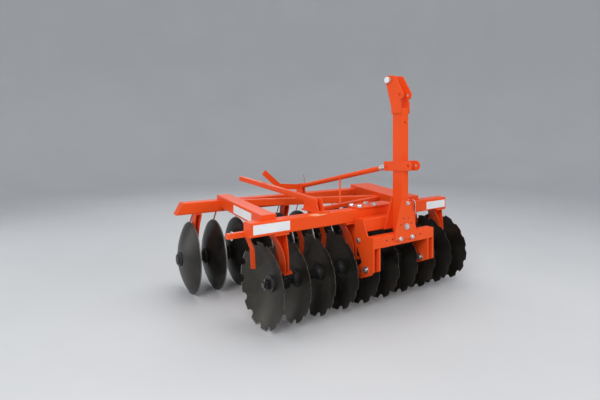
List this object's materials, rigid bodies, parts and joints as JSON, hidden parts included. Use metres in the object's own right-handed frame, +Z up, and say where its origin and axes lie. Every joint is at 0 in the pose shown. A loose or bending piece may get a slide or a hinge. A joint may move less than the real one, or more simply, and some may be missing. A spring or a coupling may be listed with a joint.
{
  "type": "disc harrow",
  "caption": "Mounted offset disc harrow: a tube frame with a mast and hitch clevises over a gang of notched discs in front and an angled gang of plain discs behind.",
  "frame": {"origin": "the middle of the whole part's box, on the floor it stands on", "axes": "+Z up, -Y the direction of travel, +X to the right as seen from the front"},
  "size_m": [2.386, 1.6844, 1.846],
  "materials": {
    "orange_paint": "gloss enamel on welded steel",
    "disc_steel": "dark, oiled and slightly worn steel",
    "cast_metal": "dark cast surface",
    "bare_steel": "zinc-plated steel"
  },
  "bodies": {
    "frame": {"bar_foot": "orange_paint", "beam_cover_plate": "orange_paint", "beam_end_caps": "orange_paint", "brace_bracket": "orange_paint", "brace_handle": "orange_paint", "brace_pins": "bare_steel", "brace_pipe": "orange_paint", "brace_stay_rod": "orange_paint", "clevis_plates": "orange_paint", "diagonal_stay": "orange_paint", "front_beam": "orange_paint", "front_bearing_housings": "cast_metal", "front_scraper_bar": "orange_paint", "front_scrapers": "orange_paint", "front_standards": "orange_paint", "inner_cross_member": "orange_paint", "left_hitch_cheek": "orange_paint", "left_side_member": "orange_paint", "long_bar": "orange_paint", "lower_cross_bar": "orange_paint", "lower_link_pins": "bare_steel", "mast": "orange_paint", "mast_band": "orange_paint", "mast_ears": "orange_paint", "mast_foot_plates": "orange_paint", "mast_head_pin": "bare_steel", "rear_beam": "orange_paint", "rear_bearing_housings": "cast_metal", "rear_lever": "orange_paint", "rear_scraper_bar": "orange_paint", "rear_scrapers": "orange_paint", "rear_standards": "orange_paint", "right_side_member": "orange_paint", "upper_hitch_beam": "orange_paint"},
    "front_gang": {"front_gang_axle": "bare_steel", "front_gang_discs": "disc_steel", "front_gang_end_nuts": "bare_steel", "front_gang_end_washers": "cast_metal", "front_gang_spools": "cast_metal"},
    "rear_gang": {"rear_gang_axle": "bare_steel", "rear_gang_discs": "disc_steel", "rear_gang_end_nuts": "bare_steel", "rear_gang_end_washers": "cast_metal", "rear_gang_spools": "cast_metal"}
  },
  "joints": [
    {"name": "front_gang_spin", "type": "hinge", "parent": "frame", "child": "front_gang", "pos_m": [0.14447, -0.41256, 0.305], "axis": [1, 0, 0], "continuous": true},
    {"name": "rear_gang_spin", "type": "hinge", "parent": "frame", "child": "rear_gang", "pos_m": [-0.17703, 0.46845, 0.305], "axis": [0.9969, -0.0785, 0], "continuous": true}
  ]
}
